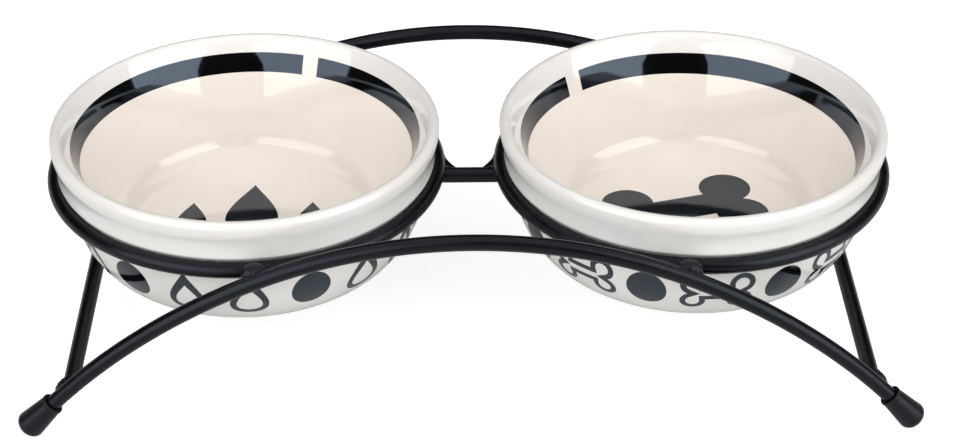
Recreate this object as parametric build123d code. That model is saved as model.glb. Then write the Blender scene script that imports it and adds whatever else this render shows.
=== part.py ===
from build123d import *
import os
from math import acos, asin, atan2, cos, degrees, radians, sin, sqrt, tan

# Double pet bowl: two glazed stoneware bowls that hang by their collars in a welded wire stand.
# Millimetres, +Z up, X along the row of bowls, origin on the floor below the middle of the stand.

# Bowl, outside
RIM_DIAMETER = 130.0
BOWL_HEIGHT = 49.0
LIP_RADIUS = 2.4
UNDERLIP_SLOPE = 30.0
COLLAR_SETBACK = 1.1
COLLAR_ROUNDING = 3.0
GROOVE_DEPTH = 1.15
GROOVE_RUN = 4.2
GROOVE_ROUNDING = 2.5
SEAT_WIDTH = 3.5
SEAT_ROUNDING = 0.8

# Bowl, inside and underside
WALL = 5.9
WALL_SLOPE = 19.0
FLOOR_THICKNESS = 6.2
FLOOR_CORNER_RADIUS = 11.0
FLARE_RADIUS = 28.0
FOOT_RING_RADIUS = 38.0
FOOT_RING_WIDTH = 5.0
FOOT_RING_HEIGHT = 1.6
FOOT_RECESS = 2.5
FOOT_RING_ROUNDING = 0.6
FOOT_RING_STEP = 2.0

# Wire stand
WIRE_DIAMETER = 5.2
BASE_CLEARANCE = 26.3
RIM_RISE = 17.0
RING_GAP = 16.3
ARCH_DROP = 0.8
CROWN_RADIUS = 172.0
LEG_SLOPE = 45.7
LEG_ABOVE_CAP = 0.5
BAR_HEIGHT = 17.5
LINK_DROP = 4.4

# Weld beads
ARCH_BEAD_RADIUS = 3.3
ARCH_BEAD_INSET = 6.5
BAR_BEAD_RADIUS = 3.7
BAR_BEAD_SHIFT = 0.4
LINK_BEAD_RADIUS = 2.3
LINK_BEAD_OUT = 3.1
LINK_BEAD_REAR = 0.9
LINK_BEAD_DROP = 1.0

# Rubber foot caps
CAP_LENGTH = 14.6
CAP_DEPTH = 11.8
CAP_MOUTH_DIAMETER = 7.2
CAP_END_DIAMETER = 9.2
CAP_LIP = 0.35
CAP_LIP_LENGTH = 1.2
CAP_DOME = 3.3
CAP_FLAT = 0.4

# Clearances
SEAT_CLEARANCE = 0.3
RING_PLAY = 0.7
ARCH_GAP = 0.6
WELD_CLEARANCE = 0.02
BAR_WELD_CLEARANCE = 0.08
CAP_CLEARANCE = 0.02

wire_r = WIRE_DIAMETER / 2
rim_r = RIM_DIAMETER / 2
rim_top = BASE_CLEARANCE + BOWL_HEIGHT
ring_height = rim_top - RIM_RISE
collar_r = rim_r - COLLAR_SETBACK
body_r = collar_r - SEAT_WIDTH
ring_r = body_r + RING_PLAY + wire_r
ring_outer_r = ring_r + wire_r
bowl_x = ring_outer_r + RING_GAP / 2
arch_y = ring_outer_r + ARCH_GAP + wire_r


def make_bowl():
    """One bowl about the Z axis, at its height in the stand, as half a section turned once round."""
    underside_z = BASE_CLEARANCE + FOOT_RING_HEIGHT
    recess_z = BASE_CLEARANCE + FOOT_RECESS
    floor_z = recess_z + FLOOR_THICKNESS
    foot_inner_r = FOOT_RING_RADIUS - FOOT_RING_WIDTH
    body_flat_r = FOOT_RING_RADIUS + FOOT_RING_STEP

    # The seat is a 45 degree slope that just clears the ring's inner shoulder.
    seat_reach = (wire_r + SEAT_CLEARANCE) * sqrt(0.5)
    seat_rise = ring_height + seat_reach - (ring_r - seat_reach)

    # The lip is a round bead. Its underside runs down into the groove, and the flare of the inner
    # wall runs into it without a corner.
    lip_x = rim_r - LIP_RADIUS
    lip_z = rim_top - LIP_RADIUS
    lip_low_x = lip_x + LIP_RADIUS * cos(radians(UNDERLIP_SLOPE))
    lip_low_z = lip_z - LIP_RADIUS * sin(radians(UNDERLIP_SLOPE))
    groove_r = collar_r - GROOVE_DEPTH
    groove_z = lip_low_z - (lip_low_x - groove_r) / tan(radians(UNDERLIP_SLOPE))
    wall_r = body_r - WALL
    flare_x = wall_r + FLARE_RADIUS
    flare_z = lip_z - sqrt((FLARE_RADIUS - LIP_RADIUS) ** 2 - (flare_x - lip_x) ** 2)
    flare_angle = degrees(atan2(lip_z - flare_z, lip_x - flare_x))

    # Below the flare the inner wall leans in at a steady slope down to the floor.
    wall_top_x = flare_x - FLARE_RADIUS * cos(radians(WALL_SLOPE))
    wall_top_z = flare_z + FLARE_RADIUS * sin(radians(WALL_SLOPE))
    floor_corner_r = wall_top_x - (wall_top_z - floor_z) * tan(radians(WALL_SLOPE))

    with BuildSketch(Plane.XZ) as section:
        with BuildLine():
            FilletPolyline(
                (0, recess_z),
                (foot_inner_r, recess_z),
                (foot_inner_r, BASE_CLEARANCE),
                (FOOT_RING_RADIUS, BASE_CLEARANCE),
                (FOOT_RING_RADIUS, underside_z),
                (body_flat_r, underside_z),
                radius=FOOT_RING_ROUNDING,
            )
            EllipticalCenterArc(
                (body_flat_r, ring_height),
                body_r - body_flat_r,
                ring_height - underside_z,
                start_angle=270,
                arc_size=90,
            )
            FilletPolyline(
                (body_r, ring_height),
                (body_r, seat_rise + body_r),
                (collar_r, seat_rise + collar_r),
                (collar_r, groove_z - GROOVE_RUN),
                (groove_r, groove_z),
                (lip_low_x, lip_low_z),
                radius=[SEAT_ROUNDING, SEAT_ROUNDING, COLLAR_ROUNDING, GROOVE_ROUNDING],
            )
            CenterArc((lip_x, lip_z), LIP_RADIUS, -UNDERLIP_SLOPE, flare_angle + UNDERLIP_SLOPE)
            CenterArc((flare_x, flare_z), FLARE_RADIUS, flare_angle, 180 - WALL_SLOPE - flare_angle)
            FilletPolyline(
                (wall_top_x, wall_top_z),
                (floor_corner_r, floor_z),
                (0, floor_z),
                radius=FLOOR_CORNER_RADIUS,
            )
            Line((0, floor_z), (0, recess_z))
        make_face()
    return revolve(section.sketch, Axis.Z)


# Weld of each arch on a ring: a bead half way between the two wires
bead_x = bowl_x - ARCH_BEAD_INSET
ring_weld_y = sqrt(ring_r ** 2 - ARCH_BEAD_INSET ** 2)
bead_y = (arch_y + ring_weld_y) / 2
bead_z = ring_height - ARCH_DROP / 2

# Arch: a crown arc between its two welds, then a shoulder arc and a straight leg on each side,
# all in one upright plane. The shoulder's radius follows from the heights, so that the caps
# always stand on the floor.
leg_slope = radians(LEG_SLOPE)
crown_turn = asin(bead_x / CROWN_RADIUS)
crown_end_x = bead_x
crown_end_z = ring_height - ARCH_DROP

# Lowest point of a cap's domed end below the middle of its mouth
cap_end_r = CAP_END_DIAMETER / 2
dome_start = CAP_LENGTH - CAP_DOME
dome_reach = sqrt((cap_end_r * cos(leg_slope)) ** 2 + (CAP_DOME * sin(leg_slope)) ** 2)
cap_reach = dome_start * sin(leg_slope) + dome_reach
cap_mouth_z = cap_reach - CAP_FLAT

leg_length = LEG_ABOVE_CAP + CAP_DEPTH
leg_top_z = cap_mouth_z + LEG_ABOVE_CAP * sin(leg_slope)
shoulder_r = (crown_end_z - leg_top_z) / (cos(crown_turn) - cos(leg_slope))
leg_top_x = crown_end_x + shoulder_r * (sin(leg_slope) - sin(crown_turn))
cap_mouth_x = leg_top_x + LEG_ABOVE_CAP * cos(leg_slope)

bar_slope = acos(cos(crown_turn) - (crown_end_z - BAR_HEIGHT) / shoulder_r)
bar_x = crown_end_x + shoulder_r * (sin(bar_slope) - sin(crown_turn))
bar_half = arch_y - wire_r


def make_arch(y, radius):
    """The bent wire of one arch, from the end of its left leg to the end of its right leg."""
    upright = Plane(origin=(0, y, 0), x_dir=(1, 0, 0), z_dir=(0, -1, 0))
    end_x = leg_top_x + leg_length * cos(leg_slope)
    end_z = leg_top_z - leg_length * sin(leg_slope)
    shoulder_turn = degrees(leg_slope - crown_turn)
    with BuildPart() as wire:
        with BuildLine(upright) as route:
            left_leg = Line((-end_x, end_z), (-leg_top_x, leg_top_z))
            JernArc(left_leg @ 1, left_leg % 1, shoulder_r, -shoulder_turn)
            crown = JernArc((-crown_end_x, crown_end_z), (cos(crown_turn), sin(crown_turn)),
                            CROWN_RADIUS, -2 * degrees(crown_turn))
            JernArc(crown @ 1, crown % 1, shoulder_r, -shoulder_turn)
            Line((leg_top_x, leg_top_z), (end_x, end_z))
        with BuildSketch(route.line ^ 0):
            Circle(radius)
        sweep(path=route.line)
    return wire.part


def make_ring(radius):
    """The left ring. The seam where its wire closes lies away from every weld."""
    return Pos(-bowl_x, 0, ring_height) * Rot(Z=45) * Torus(ring_r, radius)


def make_bar(radius, half):
    """The left side bar, between the legs of the two arches."""
    return Pos(-bar_x, 0, BAR_HEIGHT) * Rot(X=90) * Cylinder(radius, 2 * half)


def make_link(radius):
    """The short wire under both rings, before the rings are sunk into it."""
    half = bowl_x - (ring_r - wire_r)
    return Pos(0, 0, ring_height - LINK_DROP) * Rot(Y=90) * Cylinder(radius, 2 * half)


def make_bead(place, radius, *wires):
    """Weld metal round the meeting of some wires, with the wires themselves cut out of it."""
    bead = Pos(*place) * Rot(X=90) * Sphere(radius)
    for wire in wires:
        bead = bead - wire
    return bead


def make_cap(y):
    """A rubber cap pushed on a left leg, worn flat where it meets the floor."""
    mouth_r = CAP_MOUTH_DIAMETER / 2
    bore_r = wire_r + CAP_CLEARANCE
    with BuildSketch(Plane.XZ) as section:
        with BuildLine():
            Polyline(
                (0, CAP_DEPTH),
                (bore_r, CAP_DEPTH),
                (bore_r, 0),
                (mouth_r + CAP_LIP, 0),
                (mouth_r + CAP_LIP, CAP_LIP_LENGTH),
                (mouth_r, CAP_LIP_LENGTH + CAP_LIP),
                (cap_end_r, dome_start),
            )
            EllipticalCenterArc((0, dome_start), cap_end_r, CAP_DOME, start_angle=0, arc_size=90)
            Line((0, CAP_LENGTH), (0, CAP_DEPTH))
        make_face()
    cap = revolve(section.sketch, Axis.Z)
    mouth = Plane(
        origin=(-cap_mouth_x, y, cap_mouth_z),
        x_dir=(0, 1, 0),
        z_dir=(-cos(leg_slope), 0, -sin(leg_slope)),
    )
    floor_side = 4 * CAP_LENGTH
    floor_block = Box(floor_side, floor_side, CAP_LENGTH, align=(Align.CENTER, Align.CENTER, Align.MAX))
    return mouth.location * cap - Pos(-cap_mouth_x, y, 0) * floor_block


# The left half of the stand with its bowl
weld_r = wire_r + WELD_CLEARANCE
ring_cutter = make_ring(weld_r)
link_cutter = make_link(weld_r)
bar_cutter = make_bar(wire_r + BAR_WELD_CLEARANCE, arch_y + WIRE_DIAMETER)
left_half = {
    "left_bowl": Pos(-bowl_x, 0, 0) * make_bowl(),
    "left_ring": make_ring(wire_r),
    "left_side_bar": make_bar(wire_r, bar_half),
}

# The rings sink a little way into the link, and a bead fills the corner above each end of it.
link_bead = (ring_r + LINK_BEAD_OUT - bowl_x, LINK_BEAD_REAR, ring_height - LINK_BEAD_DROP)
left_half["left_link_weld"] = make_bead(link_bead, LINK_BEAD_RADIUS, ring_cutter, link_cutter)

# Each arch is welded to the ring at the end of its crown, and to the bar just above the foot.
bar_bead_y = bar_half - BAR_BEAD_SHIFT
nodes = {}
for end, y in {"front": -1, "rear": 1}.items():
    arch_cutter = make_arch(y * arch_y, weld_r)
    nodes[f"{end}_arch"] = make_arch(y * arch_y, wire_r)
    left_half[f"{end}_left_ring_weld"] = make_bead(
        (-bead_x, y * bead_y, bead_z), ARCH_BEAD_RADIUS, arch_cutter, ring_cutter)
    left_half[f"{end}_left_bar_weld"] = make_bead(
        (-bar_x, y * bar_bead_y, BAR_HEIGHT), BAR_BEAD_RADIUS, bar_cutter, arch_cutter)
    left_half[f"{end}_left_foot"] = make_cap(y * arch_y)

# The right half is its mirror image.
nodes["centre_link"] = make_link(wire_r) - ring_cutter - mirror(ring_cutter, about=Plane.YZ)
for name, solid in left_half.items():
    nodes[name] = solid
    nodes[name.replace("left", "right")] = mirror(solid, about=Plane.YZ)

os.makedirs("parts", exist_ok=True)
for name, solid in nodes.items():
    export_step(solid, f"parts/{name}.step")
print("bowl centres at x", round(bowl_x, 2), "arches at y", round(arch_y, 2))
print("shoulder radius", round(shoulder_r, 1), "rings at", round(ring_height, 1))
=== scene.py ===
from math import asin, cos, pi, radians, sin, sqrt, tan

import bmesh
import bpy
from mathutils import Matrix, Vector


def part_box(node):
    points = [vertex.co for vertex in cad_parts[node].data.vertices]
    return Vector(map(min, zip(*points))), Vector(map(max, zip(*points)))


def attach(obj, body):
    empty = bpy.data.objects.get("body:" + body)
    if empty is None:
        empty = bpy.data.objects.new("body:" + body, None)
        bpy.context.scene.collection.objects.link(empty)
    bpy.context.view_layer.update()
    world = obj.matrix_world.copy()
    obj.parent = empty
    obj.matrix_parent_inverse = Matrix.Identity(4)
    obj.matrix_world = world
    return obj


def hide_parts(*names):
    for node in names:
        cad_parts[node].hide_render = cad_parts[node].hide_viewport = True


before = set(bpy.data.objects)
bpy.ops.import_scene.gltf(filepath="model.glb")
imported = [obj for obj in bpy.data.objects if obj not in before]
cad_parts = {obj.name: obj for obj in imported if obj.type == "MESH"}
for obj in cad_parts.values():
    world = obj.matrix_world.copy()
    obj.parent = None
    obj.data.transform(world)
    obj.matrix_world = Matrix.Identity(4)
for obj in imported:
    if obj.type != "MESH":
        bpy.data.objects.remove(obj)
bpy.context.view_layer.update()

# Wire rings
# Two hoops of 5 mm steel wire, rolled round and butt-welded, then powder coated black with the stand.
# Each carries one bowl by the collar under its rim.
WIRE_RADIUS = 0.0026
WIRE_SIDES = 36
RING_RADIUS = 0.0637
RING_HEIGHT = 0.0583
RING_STEPS = 180
BOWL_X = 0.07445
SIDES = {"left": -1, "right": 1}
CLOUD_SCALE = 70.0
CLOUD_LOW = 0.3
CLOUD_HIGH = 0.7
PEEL_STRENGTH = 0.5
SAME_POINT = 0.000002
SHARP_ANGLE = radians(50)

# The fine orange peel of a baked powder coat, and the slow change of its sheen
powder_skin = bpy.data.node_groups.new("powder_skin", "ShaderNodeTree")
powder_skin.interface.new_socket("Position", in_out="INPUT", socket_type="NodeSocketVector")
powder_skin.interface.new_socket("Peel Scale", in_out="INPUT", socket_type="NodeSocketFloat")
powder_skin.interface.new_socket("Cloud Scale", in_out="INPUT", socket_type="NodeSocketFloat")
powder_skin.interface.new_socket("Peel", in_out="OUTPUT", socket_type="NodeSocketFloat")
powder_skin.interface.new_socket("Cloud", in_out="OUTPUT", socket_type="NodeSocketFloat")
skin_in = powder_skin.nodes.new("NodeGroupInput")
skin_out = powder_skin.nodes.new("NodeGroupOutput")
peel_noise = powder_skin.nodes.new("ShaderNodeTexNoise")
peel_noise.inputs["Detail"].default_value = 2.0
cloud_noise = powder_skin.nodes.new("ShaderNodeTexNoise")
cloud_noise.inputs["Detail"].default_value = 4.0
powder_skin.links.new(skin_in.outputs["Position"], peel_noise.inputs["Vector"])
powder_skin.links.new(skin_in.outputs["Position"], cloud_noise.inputs["Vector"])
powder_skin.links.new(skin_in.outputs["Peel Scale"], peel_noise.inputs["Scale"])
powder_skin.links.new(skin_in.outputs["Cloud Scale"], cloud_noise.inputs["Scale"])
powder_skin.links.new(peel_noise.outputs["Fac"], skin_out.inputs["Peel"])
powder_skin.links.new(cloud_noise.outputs["Fac"], skin_out.inputs["Cloud"])


def skinned_material(name, dark, pale, smooth, dull, shine, tint, peel_scale, peel_depth):
    """A dark skin with fine peel, whose colour and roughness drift between two values."""
    material = bpy.data.materials.new(name)
    material.use_nodes = True
    nodes = material.node_tree.nodes
    links = material.node_tree.links
    shader = nodes["Principled BSDF"]
    shader.inputs["Specular IOR Level"].default_value = shine
    shader.inputs["Specular Tint"].default_value = (*tint, 1.0)
    place = nodes.new("ShaderNodeTexCoord")
    skin = nodes.new("ShaderNodeGroup")
    skin.node_tree = powder_skin
    skin.inputs["Peel Scale"].default_value = peel_scale
    skin.inputs["Cloud Scale"].default_value = CLOUD_SCALE
    links.new(place.outputs["Object"], skin.inputs["Position"])
    tone = nodes.new("ShaderNodeValToRGB")
    tone.color_ramp.elements[0].position = CLOUD_LOW
    tone.color_ramp.elements[0].color = (*dark, 1.0)
    tone.color_ramp.elements[1].position = CLOUD_HIGH
    tone.color_ramp.elements[1].color = (*pale, 1.0)
    links.new(skin.outputs["Cloud"], tone.inputs["Fac"])
    links.new(tone.outputs["Color"], shader.inputs["Base Color"])
    sheen = nodes.new("ShaderNodeMapRange")
    sheen.inputs["From Min"].default_value = CLOUD_LOW
    sheen.inputs["From Max"].default_value = CLOUD_HIGH
    sheen.inputs["To Min"].default_value = smooth
    sheen.inputs["To Max"].default_value = dull
    links.new(skin.outputs["Cloud"], sheen.inputs["Value"])
    links.new(sheen.outputs["Result"], shader.inputs["Roughness"])
    bump = nodes.new("ShaderNodeBump")
    bump.inputs["Strength"].default_value = PEEL_STRENGTH
    bump.inputs["Distance"].default_value = peel_depth
    links.new(skin.outputs["Peel"], bump.inputs["Height"])
    links.new(bump.outputs["Normal"], shader.inputs["Normal"])
    return material


def add_piece(name, bm, material, body, slot, *stands_for):
    """Closes a finished mesh, gives it its finish and fixes it to a body of the frame."""
    bmesh.ops.remove_doubles(bm, verts=bm.verts, dist=SAME_POINT)
    bmesh.ops.recalc_face_normals(bm, faces=bm.faces)
    mesh = bpy.data.meshes.new(name)
    bm.to_mesh(mesh)
    bm.free()
    mesh.shade_smooth()
    mesh.set_sharp_from_angle(angle=SHARP_ANGLE)
    mesh.materials.append(material)
    piece = bpy.data.objects.new(name, mesh)
    bpy.context.scene.collection.objects.link(piece)
    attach(piece, body)
    if stands_for:
        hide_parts(*stands_for)
    return piece


powder_coat = skinned_material(
    "powder_coat", dark=(0.0016, 0.0016, 0.0018), pale=(0.0032, 0.0032, 0.0036), smooth=0.23, dull=0.31,
    shine=0.31, tint=(0.74, 0.80, 1.0), peel_scale=1100.0, peel_depth=0.00012)
for side, sign in SIDES.items():
    bm = bmesh.new()
    middle = Vector((sign * BOWL_X, 0, RING_HEIGHT))
    upright = Matrix.Translation(middle + Vector((RING_RADIUS, 0, 0))) @ Matrix.Rotation(pi / 2, 4, "X")
    bmesh.ops.create_circle(bm, segments=WIRE_SIDES, radius=WIRE_RADIUS, matrix=upright)
    bmesh.ops.spin(bm, geom=bm.verts[:] + bm.edges[:], cent=middle, axis=(0, 0, 1), angle=2 * pi,
                   steps=RING_STEPS, use_merge=True)
    add_piece(f"{side}_ring_wire", bm, powder_coat, "stand", "wire", f"{side}_ring")

# Front and rear arch
# One length of the same wire each, bent over a former: a crown between its two welds, a slacker shoulder
# on each side and a straight leg that ends inside a rubber cap.
ARCH_Y = 0.0695
ARCHES = {"front": -ARCH_Y, "rear": ARCH_Y}
WELD_X = 0.06795
WELD_Z = 0.0575
CROWN_RADIUS = 0.172
CROWN_STEPS = 64
SHOULDER_STEPS = 24
LEG_SLOPE = radians(45.7)
LEG_LENGTH = 0.0123
LEG_TOP_Z = 0.012033

crown_turn = asin(WELD_X / CROWN_RADIUS)
shoulder_turn = LEG_SLOPE - crown_turn
shoulder_radius = (WELD_Z - LEG_TOP_Z) / (cos(crown_turn) - cos(LEG_SLOPE))
shoulder_x = WELD_X - shoulder_radius * sin(crown_turn)
shoulder_z = WELD_Z - shoulder_radius * cos(crown_turn)
leg_top_x = shoulder_x + shoulder_radius * sin(LEG_SLOPE)


def start_wire(bm, place):
    """Starts a wire with a closed round end and returns that end."""
    bmesh.ops.create_circle(bm, segments=WIRE_SIDES, radius=WIRE_RADIUS, matrix=place)
    first_end = bm.verts[:] + bm.edges[:]
    bmesh.ops.contextual_create(bm, geom=bm.edges[:])
    return first_end


def close_end(bm, geom):
    """Closes an open end with a flat face."""
    edges = [item for item in geom if isinstance(item, bmesh.types.BMEdge)]
    bmesh.ops.contextual_create(bm, geom=edges)


def draw_out(bm, geom, vector):
    """Draws an open end of a wire out in a straight line and returns the new end."""
    edges = [item for item in geom if isinstance(item, bmesh.types.BMEdge)]
    drawn = bmesh.ops.extrude_edge_only(bm, edges=edges)["geom"]
    verts = [item for item in drawn if isinstance(item, bmesh.types.BMVert)]
    bmesh.ops.translate(bm, verts=verts, vec=vector)
    return [item for item in drawn if not isinstance(item, bmesh.types.BMFace)]


for end, y in ARCHES.items():
    bm = bmesh.new()
    leg = LEG_LENGTH * Vector((cos(LEG_SLOPE), 0, sin(LEG_SLOPE)))
    foot = Vector((-leg_top_x, y, LEG_TOP_Z)) - leg
    along_leg = Matrix.Translation(foot) @ Matrix.Rotation(pi / 2 - LEG_SLOPE, 4, "Y")
    last = start_wire(bm, along_leg)
    last = draw_out(bm, last, leg)
    bends = (
        ((-shoulder_x, y, shoulder_z), shoulder_turn, SHOULDER_STEPS),
        ((0, y, WELD_Z - CROWN_RADIUS * cos(crown_turn)), 2 * crown_turn, CROWN_STEPS),
        ((shoulder_x, y, shoulder_z), shoulder_turn, SHOULDER_STEPS),
    )
    for centre, turn, steps in bends:
        bent = bmesh.ops.spin(bm, geom=last, cent=centre, axis=(0, 1, 0), angle=turn, steps=steps)
        last = bent["geom_last"]
    last = draw_out(bm, last, Vector((leg.x, 0, -leg.z)))
    close_end(bm, last)
    add_piece(f"{end}_arch_wire", bm, powder_coat, "stand", "wire", f"{end}_arch")

# Side bars and centre link
# Straight lengths of the wire, sawn off square. A bar ties the front leg to the rear leg on each side,
# and the short link lies under both rings in the middle of the stand.
BAR_SINK = 0.0012
straight_wires = []
for side in SIDES:
    low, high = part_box(f"{side}_side_bar")
    half = Vector((0, (high.y - low.y) / 2 + BAR_SINK, 0))
    straight_wires.append((f"{side}_side_bar", (low + high) / 2, half, "X"))
low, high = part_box("centre_link")
half = Vector(((high.x - low.x) / 2, 0, 0))
straight_wires.append(("centre_link", (low + high) / 2, half, "Y"))
for node, middle, half, turn_axis in straight_wires:
    bm = bmesh.new()
    start = Matrix.Translation(middle - half) @ Matrix.Rotation(pi / 2, 4, turn_axis)
    last = start_wire(bm, start)
    last = draw_out(bm, last, 2 * half)
    close_end(bm, last)
    add_piece(f"{node}_wire", bm, powder_coat, "stand", "wire", node)

# Weld beads
# Short beads of weld metal where two wires cross, left as they were laid and coated with the stand.
# Their ripples show under the coat. The ends of the link have a wider fillet on the rear side.
RIPPLE = 0.0017
RIPPLE_DEPTH = 0.045
RING_BEAD = (0.0044, 0.0033, 0.0036)
RING_BEAD_LIFT = Vector((0, 0, 0.0007))
BAR_BEAD = (0.0052, 0.0026, 0.0030)
BAR_BEAD_DROP = 0.0020
weld_coat = skinned_material(
    "weld_coat", dark=(0.0016, 0.0016, 0.0018), pale=(0.0036, 0.0036, 0.0040), smooth=0.22, dull=0.33,
    shine=0.34, tint=(0.74, 0.80, 1.0), peel_scale=700.0, peel_depth=0.00022)


def lay_bead(middle, radii, slope=0.0):
    """A rounded bead with the ripples of a weld run along X, or down a slope from it."""
    bead = bmesh.new()
    bmesh.ops.create_uvsphere(bead, u_segments=32, v_segments=24, radius=1.0,
                              matrix=Matrix.Rotation(pi / 2, 4, "Y"))
    bmesh.ops.scale(bead, verts=bead.verts, vec=radii)
    for vert in bead.verts:
        swell = 1 + RIPPLE_DEPTH * sin(2 * pi * vert.co.x / RIPPLE)
        vert.co.y *= swell
        vert.co.z *= swell
    run = Matrix.Translation(middle) @ Matrix.Rotation(slope, 4, "Y")
    bmesh.ops.transform(bead, matrix=run, verts=bead.verts)
    return bead


for end in ARCHES:
    for side, sign in SIDES.items():
        low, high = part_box(f"{end}_{side}_ring_weld")
        bm = lay_bead((low + high) / 2 + RING_BEAD_LIFT, RING_BEAD)
        add_piece(f"{end}_{side}_ring_bead", bm, weld_coat, "stand", "weld", f"{end}_{side}_ring_weld")
        low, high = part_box(f"{end}_{side}_bar_weld")
        down_leg = Vector((sign * cos(LEG_SLOPE), 0, -sin(LEG_SLOPE)))
        middle = (low + high) / 2 + BAR_BEAD_DROP * down_leg
        bm = lay_bead(middle, BAR_BEAD, sign * LEG_SLOPE)
        add_piece(f"{end}_{side}_bar_bead", bm, weld_coat, "stand", "weld", f"{end}_{side}_bar_weld")

FILLET_ALONG_LINK = 0.0062
FILLET_ALONG_RING = 0.0054
FILLET_SINK = 0.0016
FILLET_LOW = 0.0546
FILLET_HIGH = 0.0576
FILLET_FALL = 0.0036
FILLET_ROUNDING = 0.0008
LEVEL_WITHIN = 0.0001
for side, sign in SIDES.items():
    bm = bmesh.new()
    crossing = Vector((BOWL_X - RING_RADIUS - WIRE_RADIUS, WIRE_RADIUS, FILLET_LOW))
    hollow = crossing + Vector((-FILLET_ALONG_LINK, FILLET_ALONG_RING, 0))
    first = bm.verts.new(hollow + Vector((FILLET_ALONG_RING, 0, 0)))
    bmesh.ops.spin(bm, geom=[first], cent=hollow, axis=(0, 0, -1), angle=pi / 2, steps=12)
    squeeze = Vector((FILLET_ALONG_LINK / FILLET_ALONG_RING, 1, 1))
    bmesh.ops.scale(bm, verts=bm.verts, vec=squeeze, space=Matrix.Translation(-hollow))
    arc = bm.verts[:]
    outer = [
        bm.verts.new(hollow + Vector((0, -FILLET_ALONG_RING - FILLET_SINK, 0))),
        bm.verts.new(crossing + Vector((FILLET_SINK, -FILLET_SINK, 0))),
        bm.verts.new(hollow + Vector((FILLET_ALONG_LINK + FILLET_SINK, 0, 0))),
    ]
    arc.sort(key=lambda vert: vert.co.x, reverse=True)
    face = bm.faces.new(arc + outer)
    raised = bmesh.ops.extrude_face_region(bm, geom=[face])["geom"]
    lifted = [item for item in raised if isinstance(item, bmesh.types.BMVert)]
    bmesh.ops.translate(bm, verts=lifted, vec=(0, 0, FILLET_HIGH - FILLET_LOW))
    bmesh.ops.recalc_face_normals(bm, faces=bm.faces)
    rims = [edge for edge in bm.edges if abs(edge.verts[0].co.z - edge.verts[1].co.z) < LEVEL_WITHIN]
    bmesh.ops.bevel(bm, geom=rims, offset=FILLET_ROUNDING, affect="EDGES", segments=4, profile=0.5,
                    material=-1)
    for vert in bm.verts:
        vert.co.z -= FILLET_FALL * max(crossing.x - vert.co.x, 0) / FILLET_ALONG_LINK
    if sign < 0:
        bmesh.ops.scale(bm, verts=bm.verts, vec=(-1, 1, 1))
    add_piece(f"{side}_link_fillet", bm, weld_coat, "stand", "weld", f"{side}_link_weld")

# Foot caps
# Soft black rubber caps, moulded with a thin rolled mouth, a slight taper and a domed end, and pushed on
# the legs. Each is pressed flat where it stands on the floor.
CAP_MOUTH_RADIUS = 0.0036
CAP_END_RADIUS = 0.0046
CAP_LIP = 0.00014
CAP_LIP_LENGTH = 0.0009
CAP_LIP_ROUNDING = 0.00033
CAP_BORE_SHOWN = 0.0040
CAP_BORE_EDGE = 0.0006
CAP_BORE_FLARE = 0.0004
CAP_DOME_START = 0.0113
CAP_DOME = 0.0033
CAP_MOUTH_Z = 0.011675
LEG_ABOVE_CAP = 0.0005
cap_mouth_x = leg_top_x + LEG_ABOVE_CAP * cos(LEG_SLOPE)

cap_rubber = skinned_material(
    "cap_rubber", dark=(0.0020, 0.0020, 0.0023), pale=(0.0038, 0.0038, 0.0044), smooth=0.33, dull=0.41,
    shine=0.33, tint=(0.76, 0.82, 1.0), peel_scale=1500.0, peel_depth=0.00010)
for end, y in ARCHES.items():
    for side, sign in SIDES.items():
        bm = bmesh.new()
        outline = (
            (WIRE_RADIUS, CAP_BORE_SHOWN),
            (WIRE_RADIUS, CAP_BORE_EDGE),
            (WIRE_RADIUS + CAP_BORE_FLARE, 0.0),
            (CAP_MOUTH_RADIUS + CAP_LIP, 0.0),
            (CAP_MOUTH_RADIUS + CAP_LIP, CAP_LIP_LENGTH),
            (CAP_MOUTH_RADIUS, CAP_LIP_LENGTH + 2 * CAP_LIP),
            (CAP_END_RADIUS, CAP_DOME_START),
        )
        verts = [bm.verts.new((radius, 0, depth)) for radius, depth in outline]
        for one, two in zip(verts, verts[1:]):
            bm.edges.new((one, two))
        lip_corners = verts[3:6]
        bmesh.ops.bevel(bm, geom=lip_corners, offset=CAP_LIP_ROUNDING, affect="VERTICES", segments=4,
                        profile=0.5, material=-1)
        bm.verts.ensure_lookup_table()
        edge_of_dome = max(bm.verts, key=lambda vert: vert.co.z)
        before = set(bm.verts)
        bmesh.ops.spin(bm, geom=[edge_of_dome], cent=(0, 0, CAP_DOME_START), axis=(0, -1, 0),
                       angle=pi / 2, steps=14)
        dome = [vert for vert in bm.verts if vert not in before]
        bmesh.ops.scale(bm, verts=dome, vec=(1, 1, CAP_DOME / CAP_END_RADIUS),
                        space=Matrix.Translation((0, 0, -CAP_DOME_START)))
        bmesh.ops.spin(bm, geom=bm.verts[:] + bm.edges[:], cent=(0, 0, 0), axis=(0, 0, 1), angle=2 * pi,
                       steps=48, use_merge=True)
        bmesh.ops.remove_doubles(bm, verts=bm.verts, dist=SAME_POINT)
        on_leg = Matrix.Translation((sign * cap_mouth_x, y, CAP_MOUTH_Z))
        on_leg = on_leg @ Matrix.Rotation(sign * (pi / 2 + LEG_SLOPE), 4, "Y")
        bmesh.ops.transform(bm, matrix=on_leg, verts=bm.verts)
        cut = bmesh.ops.bisect_plane(bm, geom=bm.verts[:] + bm.edges[:] + bm.faces[:], plane_co=(0, 0, 0),
                                     plane_no=(0, 0, -1), clear_outer=True)
        close_end(bm, cut["geom_cut"])
        add_piece(f"{end}_{side}_cap", bm, cap_rubber, "stand", "foot_rubber", f"{end}_{side}_foot")

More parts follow.
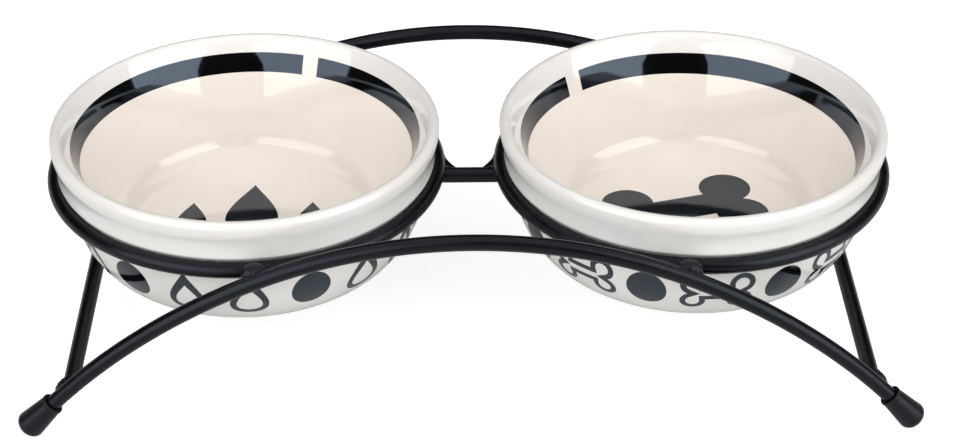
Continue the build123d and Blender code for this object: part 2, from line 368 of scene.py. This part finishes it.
# Bowls
# Slip-cast stoneware under a thick white glaze: a slim bead lip over a long hollow, a collar that rests
# on the ring, a deep rounded body and a bare foot ring, where the bowl stood in the kiln.
BASE = 0.0254
UNDERSIDE = 0.0270
RECESS_HEIGHT = 0.0279
FOOT_RING_INNER = 0.033
FOOT_RING_OUTER = 0.038
FOOT_RING_ROUNDING = 0.0007
BARE_RISE = 0.0005
GLAZED_RISE = 0.0009
FLOOR_HEIGHT = 0.0350
FLOOR_CORNER = 0.011
WALL_FOOT_RADIUS = 0.040
WALL_RADIUS = 0.0604
WALL_SLOPE = radians(19)
FLARE_X = 0.0825
FLARE_Z = 0.056796
FLARE_RADIUS = 0.028
FLARE_TURN = radians(38.926)
LIP_X = 0.06235
LIP_Z = 0.073069
LIP_RADIUS = 0.0021
UNDERLIP_SLOPE = radians(20)
UNDERLIP_RADIUS = 0.0115
HOLLOW_RADIUS = 0.0155
COLLAR_SLOPE = radians(5)
COLLAR_LOW = 0.0617
SEAT_LOW = 0.0591
SEAT_ROUNDING = 0.0006
RIM_LOW = 0.0720
LINING_TOP = 0.0665
PAINTED_LIGHT_RIM_ZONE = 0.3
WALL_ZONE = 0.6
PAINTED_SHADE_FLOOR_ZONE = 1.0
# The outside white and the wall cream are the glaze's own colours. The rim colour is brighter than the
# outside white as painted light.
OUTSIDE_WHITE = (0.826, 0.821, 0.810, 1.0)
RIM_WHITE_PAINTED_LIGHT = (0.876, 0.864, 0.842, 1.0)
WALL_CREAM = (0.950, 0.886, 0.826, 1.0)
# The floor cream is the wall cream painted darker, as painted shade on the floor of the bowl.
FLOOR_CREAM_PAINTED_SHADE = (0.902, 0.836, 0.774, 1.0)

wall_width = WALL_RADIUS - WALL_FOOT_RADIUS
wall_height = RING_HEIGHT - UNDERSIDE
both_radii = UNDERLIP_RADIUS + HOLLOW_RADIUS
hollow_x = LIP_X + LIP_RADIUS - UNDERLIP_RADIUS + both_radii * cos(UNDERLIP_SLOPE)
hollow_z = LIP_Z - both_radii * sin(UNDERLIP_SLOPE)
collar_radius = hollow_x - HOLLOW_RADIUS * cos(COLLAR_SLOPE)
collar_top = hollow_z - HOLLOW_RADIUS * sin(COLLAR_SLOPE)

bowl_glaze = bpy.data.materials.new("bowl_glaze")
bowl_glaze.use_nodes = True
glaze_nodes = bowl_glaze.node_tree.nodes
glaze_links = bowl_glaze.node_tree.links
glaze_shader = glaze_nodes["Principled BSDF"]
glaze_shader.inputs["Specular IOR Level"].default_value = 0.75
glaze_place = glaze_nodes.new("ShaderNodeTexCoord")

# The outside is a plain white and the inside cream. The rim is a slightly warmer white, painted brighter
# towards the top of the lip as painted light, and the floor and the corner into it are painted darker as
# painted shade. The stripe covers the line between rim and inside.
zone_read = glaze_nodes.new("ShaderNodeAttribute")
zone_read.attribute_name = "zone"
zone_colour = glaze_nodes.new("ShaderNodeValToRGB")
zone_colour.color_ramp.elements[0].color = OUTSIDE_WHITE
zone_colour.color_ramp.elements[1].color = FLOOR_CREAM_PAINTED_SHADE
zone_colour.color_ramp.elements.new(PAINTED_LIGHT_RIM_ZONE).color = RIM_WHITE_PAINTED_LIGHT
zone_colour.color_ramp.elements.new(WALL_ZONE).color = WALL_CREAM
glaze_links.new(zone_read.outputs["Fac"], zone_colour.inputs["Fac"])

# The glaze is a little thinner and warmer in slow drifts.
drift = glaze_nodes.new("ShaderNodeTexNoise")
drift.inputs["Scale"].default_value = 34.0
drift.inputs["Detail"].default_value = 3.0
glaze_links.new(glaze_place.outputs["Object"], drift.inputs["Vector"])
thin = glaze_nodes.new("ShaderNodeValToRGB")
thin.color_ramp.elements[0].position = 0.35
thin.color_ramp.elements[0].color = (0.978, 0.968, 0.956, 1.0)
thin.color_ramp.elements[1].position = 0.65
thin.color_ramp.elements[1].color = (1.0, 1.0, 1.0, 1.0)
glaze_links.new(drift.outputs["Fac"], thin.inputs["Fac"])
lined = glaze_nodes.new("ShaderNodeMix")
lined.data_type = "RGBA"
lined.blend_type = "MULTIPLY"
lined.inputs[0].default_value = 1.0
glaze_links.new(zone_colour.outputs["Color"], lined.inputs[6])
glaze_links.new(thin.outputs["Color"], lined.inputs[7])

# A few faint iron specks lie under the glaze.
speck_cells = glaze_nodes.new("ShaderNodeTexVoronoi")
speck_cells.inputs["Scale"].default_value = 75.0
glaze_links.new(glaze_place.outputs["Object"], speck_cells.inputs["Vector"])
speck = glaze_nodes.new("ShaderNodeMapRange")
speck.inputs["From Min"].default_value = 0.020
speck.inputs["From Max"].default_value = 0.045
speck.inputs["To Min"].default_value = 0.16
speck.inputs["To Max"].default_value = 0.0
glaze_links.new(speck_cells.outputs["Distance"], speck.inputs["Value"])
specked = glaze_nodes.new("ShaderNodeMix")
specked.data_type = "RGBA"
specked.inputs[7].default_value = (0.42, 0.34, 0.25, 1.0)
glaze_links.new(speck.outputs["Result"], specked.inputs[0])
glaze_links.new(lined.outputs[2], specked.inputs[6])

# The foot ring is wiped clean of glaze and shows the biscuit.
height = glaze_nodes.new("ShaderNodeSeparateXYZ")
glaze_links.new(glaze_place.outputs["Object"], height.inputs["Vector"])
bare = glaze_nodes.new("ShaderNodeMapRange")
bare.inputs["From Min"].default_value = BASE + BARE_RISE
bare.inputs["From Max"].default_value = BASE + GLAZED_RISE
bare.inputs["To Min"].default_value = 1.0
bare.inputs["To Max"].default_value = 0.0
glaze_links.new(height.outputs["Z"], bare.inputs["Value"])
clay = glaze_nodes.new("ShaderNodeMix")
clay.data_type = "RGBA"
clay.inputs[7].default_value = (0.66, 0.58, 0.47, 1.0)
glaze_links.new(bare.outputs["Result"], clay.inputs[0])
glaze_links.new(specked.outputs[2], clay.inputs[6])
glaze_links.new(clay.outputs[2], glaze_shader.inputs["Base Color"])
gloss = glaze_nodes.new("ShaderNodeMapRange")
gloss.inputs["To Min"].default_value = 0.03
gloss.inputs["To Max"].default_value = 0.75
glaze_links.new(bare.outputs["Result"], gloss.inputs["Value"])
glaze_links.new(gloss.outputs["Result"], glaze_shader.inputs["Roughness"])
ripple = glaze_nodes.new("ShaderNodeTexNoise")
ripple.inputs["Scale"].default_value = 90.0
ripple.inputs["Detail"].default_value = 1.0
glaze_links.new(glaze_place.outputs["Object"], ripple.inputs["Vector"])
glaze_bump = glaze_nodes.new("ShaderNodeBump")
glaze_bump.inputs["Strength"].default_value = 0.25
glaze_bump.inputs["Distance"].default_value = 0.0001
glaze_links.new(ripple.outputs["Fac"], glaze_bump.inputs["Height"])
glaze_links.new(glaze_bump.outputs["Normal"], glaze_shader.inputs["Normal"])


def arc_on(bm, vert, centre, turn, steps, narrow=1.0):
    """Carries a profile on round a centre in the XZ plane, narrowed along X for an ellipse."""
    middle = Vector((centre[0], 0, centre[1]))
    before = set(bm.verts)
    vert.co.x = middle.x + (vert.co.x - middle.x) / narrow
    spun = bmesh.ops.spin(bm, geom=[vert], cent=middle, axis=(0, -1, 0), angle=turn, steps=steps)
    added = [vert] + [item for item in bm.verts if item not in before]
    bmesh.ops.scale(bm, verts=added, vec=(narrow, 1, 1), space=Matrix.Translation(-middle))
    return [item for item in spun["geom_last"] if isinstance(item, bmesh.types.BMVert)][0]


def line_on(bm, vert, points, rounding=0.0):
    """Carries a profile on through some points and rounds the corners on the way."""
    chain = [vert]
    for x, z in points:
        chain.append(bm.verts.new((x, 0, z)))
        bm.edges.new(chain[-2:])
    end = chain[-1]
    if rounding:
        bmesh.ops.bevel(bm, geom=chain[1:-1], offset=rounding, affect="VERTICES", segments=5,
                        profile=0.5, material=-1)
    return end


for side, sign in SIDES.items():
    bm = bmesh.new()
    zone_layer = bm.verts.layers.float.new("zone")
    point = bm.verts.new((0, 0, RECESS_HEIGHT))
    foot_ring = (
        (FOOT_RING_INNER, RECESS_HEIGHT),
        (FOOT_RING_INNER, BASE),
        (FOOT_RING_OUTER, BASE),
        (FOOT_RING_OUTER, UNDERSIDE),
        (WALL_FOOT_RADIUS, UNDERSIDE),
    )
    point = line_on(bm, point, foot_ring, FOOT_RING_ROUNDING)
    wall_centre = (WALL_FOOT_RADIUS, RING_HEIGHT)
    point = arc_on(bm, point, wall_centre, pi / 2, steps=32, narrow=wall_width / wall_height)
    collar_edge = collar_radius + (collar_top - COLLAR_LOW) * tan(COLLAR_SLOPE)
    seat = ((WALL_RADIUS, SEAT_LOW), (collar_edge, COLLAR_LOW), (collar_radius, collar_top))
    point = line_on(bm, point, seat, SEAT_ROUNDING)
    point = arc_on(bm, point, (hollow_x, hollow_z), -UNDERLIP_SLOPE - COLLAR_SLOPE, steps=14)
    underlip_centre = (LIP_X + LIP_RADIUS - UNDERLIP_RADIUS, LIP_Z)
    point = arc_on(bm, point, underlip_centre, UNDERLIP_SLOPE, steps=8)
    point = arc_on(bm, point, (LIP_X, LIP_Z), pi - FLARE_TURN, steps=26)
    # Painted light: the outside is painted brighter from RIM_LOW up to the top of the lip, and the inside
    # above the lining top takes the same painted rim light.
    for vert in bm.verts:
        over_lip = (vert.co.z - RIM_LOW) / (LIP_Z + LIP_RADIUS - RIM_LOW)
        vert[zone_layer] = PAINTED_LIGHT_RIM_ZONE * max(over_lip, 0)
    outside = set(bm.verts)
    point = arc_on(bm, point, (FLARE_X, FLARE_Z), FLARE_TURN - WALL_SLOPE, steps=14)
    corner_x = point.co.x - (point.co.z - FLOOR_HEIGHT) * tan(WALL_SLOPE)
    cut_back = FLOOR_CORNER * tan(pi / 4 - WALL_SLOPE / 2)
    wall_end = (corner_x + cut_back * sin(WALL_SLOPE), FLOOR_HEIGHT + cut_back * cos(WALL_SLOPE))
    point = line_on(bm, point, (wall_end,))
    corner_centre = (corner_x - cut_back, FLOOR_HEIGHT + FLOOR_CORNER)
    point = arc_on(bm, point, corner_centre, WALL_SLOPE - pi / 2, steps=20)
    line_on(bm, point, ((0, FLOOR_HEIGHT),))
    # Painted shade: the inside is painted darker down the corner and over the floor.
    for vert in set(bm.verts) - outside:
        up_corner = min((vert.co.z - FLOOR_HEIGHT) / FLOOR_CORNER, 1)
        vert[zone_layer] = PAINTED_SHADE_FLOOR_ZONE + (WALL_ZONE - PAINTED_SHADE_FLOOR_ZONE) * up_corner
        if vert.co.z > LINING_TOP:
            vert[zone_layer] = PAINTED_LIGHT_RIM_ZONE
    bmesh.ops.spin(bm, geom=bm.verts[:] + bm.edges[:], cent=(0, 0, 0), axis=(0, 0, 1), angle=2 * pi,
                   steps=192, use_merge=True)
    bmesh.ops.translate(bm, verts=bm.verts, vec=(sign * BOWL_X, 0, 0))
    add_piece(f"{side}_bowl_body", bm, bowl_glaze, f"{side}_bowl", "glaze", f"{side}_bowl")

# Dark stripe inside each bowl
# A band of black stain under the clear glaze, brushed round the flare on a turning wheel.
# The stroke starts and stops with a short white gap.
STRIPE_LOW = {"left": 0.0638, "right": 0.0622}
STRIPE_TOP_ANGLE = {"left": radians(28.6), "right": radians(26.0)}
STRIPE_GAP = {"left": 0.0056, "right": 0.0064}
STRIPE_RADIUS = 0.057
PRINT_LIFT = 0.00005
GAP_AT = {"left": radians(70.3), "right": radians(131.8)}

print_black = skinned_material(
    "print_black", dark=(0.0016, 0.0016, 0.0014), pale=(0.0028, 0.0027, 0.0024), smooth=0.05, dull=0.08,
    shine=0.86, tint=(0.62, 0.78, 1.0), peel_scale=90.0, peel_depth=0.00006)
for side, sign in SIDES.items():
    bm = bmesh.new()
    reach = FLARE_RADIUS + PRINT_LIFT
    top = STRIPE_TOP_ANGLE[side]
    low = STRIPE_LOW[side]
    start = bm.verts.new((FLARE_X - reach * cos(top), 0, FLARE_Z + reach * sin(top)))
    bend = arc_on(bm, start, (FLARE_X, FLARE_Z), top - WALL_SLOPE, steps=8)
    line_on(bm, bend, ((bend.co.x - (bend.co.z - low) * tan(WALL_SLOPE), low),))
    half_gap = STRIPE_GAP[side] / 2 / STRIPE_RADIUS
    past_gap = Matrix.Rotation(GAP_AT[side] + half_gap, 3, "Z")
    bmesh.ops.rotate(bm, verts=bm.verts, cent=(0, 0, 0), matrix=past_gap)
    bmesh.ops.spin(bm, geom=bm.verts[:] + bm.edges[:], cent=(0, 0, 0), axis=(0, 0, 1),
                   angle=2 * pi - 2 * half_gap, steps=190)
    bmesh.ops.translate(bm, verts=bm.verts, vec=(sign * BOWL_X, 0, 0))
    add_piece(f"{side}_stripe", bm, print_black, f"{side}_bowl", "glaze")

# Prints on the outside and the floor of each bowl
# Plain transfer prints under the glaze: a row of drops and spots round one bowl, bones and spots round the
# other, and a large figure of the same kind on each floor.
ROW_ANGLE = radians(-27)
ROW_ARC = 0.0285
ROW_RADIUS = 0.058
ROW_START = {"left": -66.5, "right": -63.8}
ROW_MOTIFS = {"left": ("spot", "drop", "drop") * 6, "right": ("spot", "bone") * 8}
SPOT = (0.0066, 0.0072)
DROP = (0.0064, 0.0184, 0.0021)
BONE = (0.0120, 0.0042, 0.0019)
LARGE_DROP = (0.0090, 0.031)
SMALL_DROP = (0.0052, 0.018)
LARGE_BONE = (0.027, 0.0090)
DROP_TAPER = 0.7
DROP_WIDEST = 0.713
DROP_INNER_CUT = 3.4
DROP_INNER_SHIFT = 0.7
LOBE_APART = 0.92
SHANK_HALF = 0.72
MIRROR_MERGE = 0.00001
BONE_MERGE = 0.00002


def drop_shape(radius, length, stroke=0.0):
    """A flat drop with its point towards +Y: filled, or only a stroke round its edge."""
    bm = bmesh.new()
    loops = [(radius, length, 0.0)]
    if stroke:
        loops.append((radius - stroke, length - DROP_INNER_CUT * stroke, -DROP_INNER_SHIFT * stroke))
    for half_width, height, shift in loops:
        ring = bmesh.ops.create_circle(bm, segments=64, radius=1.0)["verts"]
        for vert in ring:
            vert.co.x *= ((1 - vert.co.y) / 2) ** DROP_TAPER
        bmesh.ops.scale(bm, verts=ring, vec=(half_width / DROP_WIDEST, height / 2, 1))
        bmesh.ops.translate(bm, verts=ring, vec=(0, shift, 0))
    if stroke:
        bmesh.ops.bridge_loops(bm, edges=bm.edges[:])
    else:
        bmesh.ops.contextual_create(bm, geom=bm.edges[:])
    return bm


def bone_shape(half_length, lobe):
    """A flat bone along X with two round lobes at each end."""
    bm = bmesh.new()
    apart = LOBE_APART * lobe
    shank = SHANK_HALF * lobe
    lobe_x = half_length - lobe
    rise = shank - apart
    start = bm.verts.new((lobe_x - sqrt(lobe ** 2 - rise ** 2), shank, 0))
    notch = lobe_x + sqrt(lobe ** 2 - apart ** 2)
    sweep = pi + asin(-rise / lobe) + pi / 2 - asin((notch - lobe_x) / lobe)
    bmesh.ops.spin(bm, geom=[start], cent=(lobe_x, apart, 0), axis=(0, 0, -1), angle=sweep, steps=26)
    shank_end = bm.verts.new((0, shank, 0))
    bm.edges.new((start, shank_end))
    bmesh.ops.mirror(bm, geom=bm.verts[:] + bm.edges[:], axis="X", merge_dist=MIRROR_MERGE)
    bmesh.ops.mirror(bm, geom=bm.verts[:] + bm.edges[:], axis="Y", merge_dist=MIRROR_MERGE)
    bmesh.ops.remove_doubles(bm, verts=bm.verts, dist=BONE_MERGE)
    bmesh.ops.contextual_create(bm, geom=bm.edges[:])
    return bm


def bone_outline(half_length, lobe, stroke):
    """Only the stroke round the edge of a bone."""
    bm = bone_shape(half_length, lobe)
    faces = bm.faces[:]
    bmesh.ops.inset_region(bm, faces=faces, thickness=stroke, use_even_offset=True, use_boundary=True)
    bmesh.ops.delete(bm, geom=faces, context="FACES")
    return bm


def spot_shape(across, up):
    """A flat round spot."""
    bm = bmesh.new()
    bmesh.ops.create_circle(bm, cap_ends=True, segments=48, radius=1.0)
    bmesh.ops.scale(bm, verts=bm.verts, vec=(across, up, 1))
    return bm


def lay_on_wall(flat, turn, sign):
    """Bends a flat shape round the outside wall at a turn about the bowl's axis."""
    bmesh.ops.triangulate(flat, faces=flat.faces[:])
    bmesh.ops.subdivide_edges(flat, edges=flat.edges[:], cuts=3, use_grid_fill=True)
    for vert in flat.verts:
        slope = ROW_ANGLE + vert.co.y / ROW_ARC
        radius = WALL_FOOT_RADIUS + wall_width * cos(slope)
        rise = RING_HEIGHT + wall_height * sin(slope)
        out = Vector((cos(slope) / wall_width, sin(slope) / wall_height))
        out = out.normalized() * PRINT_LIFT
        around = turn + vert.co.x / ROW_RADIUS
        vert.co.x = sign * BOWL_X + (radius + out.x) * cos(around)
        vert.co.y = (radius + out.x) * sin(around)
        vert.co.z = rise + out.y


def add_to_print(bm, flat):
    """Adds a shape that is in its place to a print and lets go of it."""
    carried = bpy.data.meshes.new("carried_print")
    flat.to_mesh(carried)
    flat.free()
    bm.from_mesh(carried)
    bpy.data.meshes.remove(carried)


for side, sign in SIDES.items():
    bm = bmesh.new()
    motifs = ROW_MOTIFS[side]
    spacing = 360 / len(motifs)
    for step, motif in enumerate(motifs):
        if motif == "spot":
            flat = spot_shape(*SPOT)
        elif motif == "drop":
            flat = drop_shape(*DROP)
        else:
            flat = bone_outline(*BONE)
        lay_on_wall(flat, radians(ROW_START[side] + spacing * step), sign)
        add_to_print(bm, flat)
    add_piece(f"{side}_wall_print", bm, print_black, f"{side}_bowl", "glaze")

# Each figure has its shape, its place on the floor and its turn in degrees.
floor_figures = {
    "left": (
        (drop_shape(*LARGE_DROP), (0.000, 0.010), 0),
        (drop_shape(*SMALL_DROP), (-0.0205, 0.005), 0),
        (drop_shape(*SMALL_DROP), (0.0205, 0.005), 0),
    ),
    "right": (
        (bone_shape(*LARGE_BONE), (0.000, 0.008), 16),
    ),
}
for side, sign in SIDES.items():
    bm = bmesh.new()
    for flat, (x, y), turn in floor_figures[side]:
        place = Matrix.Translation((sign * BOWL_X + x, y, FLOOR_HEIGHT + PRINT_LIFT))
        place = place @ Matrix.Rotation(radians(turn), 4, "Z")
        bmesh.ops.transform(flat, matrix=place, verts=flat.verts)
        add_to_print(bm, flat)
    add_piece(f"{side}_floor_print", bm, print_black, f"{side}_bowl", "glaze")

# Studio
# A plain white floor under two broad soft boxes at the front and a larger, dimmer one overhead.
# The floor keeps a faint shadow of the stand.
FLOOR_RADIUS = 4.0
FLOOR_SEEN_GLOW = 0.72
FLOOR_MIRRORED_GLOW = 0.06
BACKDROP_LIGHT = 0.03
BACKDROP_SHOWN = 1.0
LAMP_AIM = Vector((0, 0, 0.05))
LAMP_COLOUR = (1.0, 0.99, 0.98)
bm = bmesh.new()
bmesh.ops.create_circle(bm, cap_ends=True, segments=64, radius=FLOOR_RADIUS)
floor_mesh = bpy.data.meshes.new("studio_floor")
bm.to_mesh(floor_mesh)
bm.free()
studio_floor = bpy.data.objects.new("studio_floor", floor_mesh)
bpy.context.scene.collection.objects.link(studio_floor)
paper = bpy.data.materials.new("floor_paper")
paper.use_nodes = True
floor_mesh.materials.append(paper)
paper_nodes = paper.node_tree.nodes
paper_links = paper.node_tree.links
paper_shader = paper_nodes["Principled BSDF"]
paper_shader.inputs["Base Color"].default_value = (0.68, 0.68, 0.68, 1.0)
paper_shader.inputs["Roughness"].default_value = 0.9
paper_shader.inputs["Specular IOR Level"].default_value = 0.1
paper_shader.inputs["Emission Color"].default_value = (1.0, 1.0, 1.0, 1.0)
paper_rays = paper_nodes.new("ShaderNodeLightPath")
seen = paper_nodes.new("ShaderNodeMath")
seen.operation = "MAXIMUM"
paper_links.new(paper_rays.outputs["Is Camera Ray"], seen.inputs[0])
paper_links.new(paper_rays.outputs["Is Transmission Ray"], seen.inputs[1])
seen_glow = paper_nodes.new("ShaderNodeMath")
seen_glow.operation = "MULTIPLY"
seen_glow.inputs[1].default_value = FLOOR_SEEN_GLOW
paper_links.new(seen.outputs[0], seen_glow.inputs[0])
glow = paper_nodes.new("ShaderNodeMath")
glow.operation = "MULTIPLY_ADD"
glow.inputs[1].default_value = FLOOR_MIRRORED_GLOW
paper_links.new(paper_rays.outputs["Is Glossy Ray"], glow.inputs[0])
paper_links.new(seen_glow.outputs[0], glow.inputs[2])
paper_links.new(glow.outputs[0], paper_shader.inputs["Emission Strength"])

studio = bpy.data.worlds.new("studio")
bpy.context.scene.world = studio
studio.use_nodes = True
studio_nodes = studio.node_tree.nodes
studio_links = studio.node_tree.links
backdrop = studio_nodes["Background"]
backdrop.inputs["Color"].default_value = (1.0, 1.0, 1.0, 1.0)
studio_rays = studio_nodes.new("ShaderNodeLightPath")
mirrored = studio_nodes.new("ShaderNodeMath")
mirrored.operation = "MAXIMUM"
studio_links.new(studio_rays.outputs["Is Glossy Ray"], mirrored.inputs[0])
studio_links.new(studio_rays.outputs["Is Transmission Ray"], mirrored.inputs[1])
direction = studio_nodes.new("ShaderNodeTexCoord")
upward = studio_nodes.new("ShaderNodeSeparateXYZ")
studio_links.new(direction.outputs["Generated"], upward.inputs["Vector"])
skirting = studio_nodes.new("ShaderNodeMapRange")
skirting.inputs["From Min"].default_value = 0.02
skirting.inputs["From Max"].default_value = 0.08
skirting.inputs["To Min"].default_value = 1.0
skirting.inputs["To Max"].default_value = 0.0
studio_links.new(upward.outputs["Z"], skirting.inputs["Value"])
low_mirrored = studio_nodes.new("ShaderNodeMath")
low_mirrored.operation = "MULTIPLY"
studio_links.new(mirrored.outputs[0], low_mirrored.inputs[0])
studio_links.new(skirting.outputs["Result"], low_mirrored.inputs[1])
shown = studio_nodes.new("ShaderNodeMath")
shown.operation = "MAXIMUM"
studio_links.new(studio_rays.outputs["Is Camera Ray"], shown.inputs[0])
studio_links.new(low_mirrored.outputs[0], shown.inputs[1])
dim = studio_nodes.new("ShaderNodeMapRange")
dim.inputs["To Min"].default_value = BACKDROP_LIGHT
dim.inputs["To Max"].default_value = BACKDROP_SHOWN
studio_links.new(shown.outputs[0], dim.inputs["Value"])
studio_links.new(dim.outputs["Result"], backdrop.inputs["Strength"])

soft_boxes = (
    ("left_soft_box", (-0.74, -0.84, 0.55), 1.36, 1.05, 10.8),
    ("right_soft_box", (0.92, -0.60, 0.55), 1.10, 1.05, 10.1),
    ("overhead_soft_box", (0.0, -0.12, 1.40), 2.60, 2.00, 15.4),
)
for name, place, across, up, power in soft_boxes:
    lamp = bpy.data.lights.new(name, "AREA")
    lamp.shape = "RECTANGLE"
    lamp.size = across
    lamp.size_y = up
    lamp.energy = power
    lamp.color = LAMP_COLOUR
    soft_box = bpy.data.objects.new(name, lamp)
    bpy.context.scene.collection.objects.link(soft_box)
    aim = LAMP_AIM - Vector(place)
    soft_box.matrix_world = Matrix.Translation(place) @ aim.to_track_quat("-Z", "Y").to_matrix().to_4x4()

# Camera
# A long lens at the photograph's height and distance.
CAMERA_RISE = radians(32.37)
CAMERA_SWING = radians(-1.16)
CAMERA_ROLL = radians(0.144)
CAMERA_DISTANCE = 0.8039
CAMERA_TARGET = Vector((0.00362, 0, 0.03482))
CAMERA_LENS = 88.293
SENSOR_WIDTH = 36.0
camera_data = bpy.data.cameras.new("camera")
camera_data.sensor_fit = "HORIZONTAL"
camera_data.sensor_width = SENSOR_WIDTH
camera_data.lens = CAMERA_LENS
camera = bpy.data.objects.new("camera", camera_data)
bpy.context.scene.collection.objects.link(camera)
level = cos(CAMERA_RISE)
back = Vector((sin(CAMERA_SWING) * level, -cos(CAMERA_SWING) * level, sin(CAMERA_RISE)))
right = Vector((0, 0, 1)).cross(back).normalized()
facing = Matrix.Rotation(CAMERA_ROLL, 3, back) @ Matrix((right, back.cross(right), back)).transposed()
stand_point = CAMERA_TARGET + CAMERA_DISTANCE * back
camera.matrix_world = Matrix.Translation(stand_point) @ facing.to_4x4()
bpy.context.scene.camera = camera
bpy.context.scene.view_settings.view_transform = "Standard"
